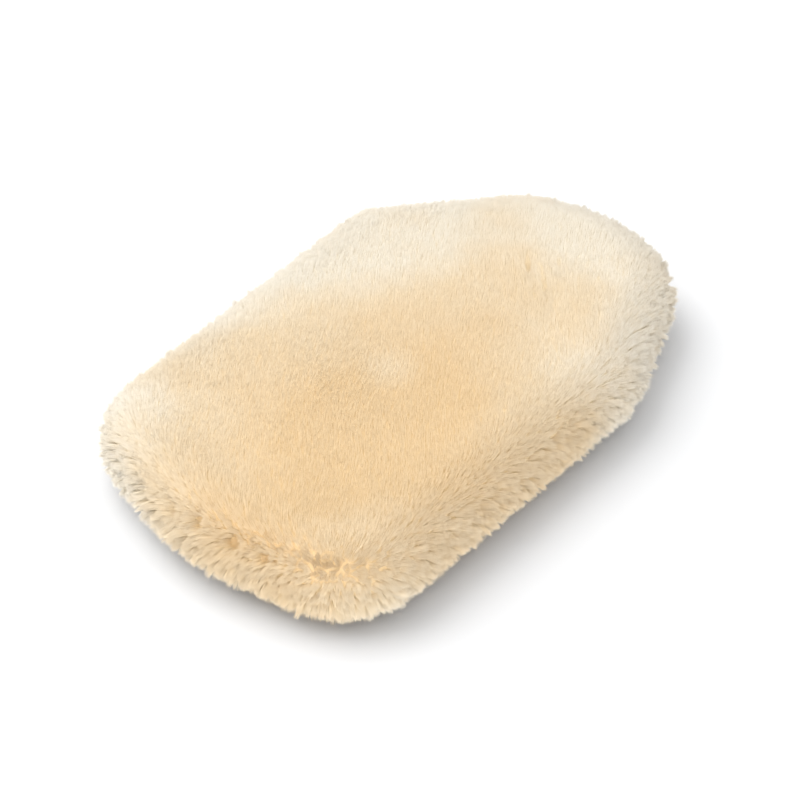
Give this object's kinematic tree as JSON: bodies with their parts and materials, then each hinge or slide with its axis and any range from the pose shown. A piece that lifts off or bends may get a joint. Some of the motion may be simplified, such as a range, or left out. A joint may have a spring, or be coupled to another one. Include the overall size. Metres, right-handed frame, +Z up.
{
  "type": "wash mitt",
  "caption": "Lambskin wash mitt: a flat tapered hand pocket between two skins worn wool side out, with a soft lining and a short elastic knit cuff at its narrow end.",
  "frame": {"origin": "on the ground under the middle of the mitt", "axes": "+Z up from the surface the mitt lies on, +Y from the finger end to the mouth, +X across the width"},
  "size_m": [0.1813, 0.2848, 0.044],
  "materials": {
    "wool": "dense soft pile, matte",
    "suede": "napped suede, matte",
    "lining": "fine knit, matte",
    "rib_knit": "ribbed knit, matte",
    "elastic": "woven elastic, matte",
    "thread": "twisted thread, slight sheen",
    "satin": "blank satin tape, soft sheen"
  },
  "bodies": {
    "root": {"upper_fleece": "wool", "lower_fleece": "wool", "upper_skin": "suede", "lower_skin": "suede", "skin_seam_thread": "thread", "upper_lining": "lining", "lower_lining": "lining", "lining_seam_thread": "thread", "cuff_knit": "rib_knit", "cuff_elastic": "elastic", "cuff_channel_stitches": "thread", "cuff_lining_stitches": "thread", "care_label": "satin", "care_label_stitches": "thread"}
  },
  "joints": []
}
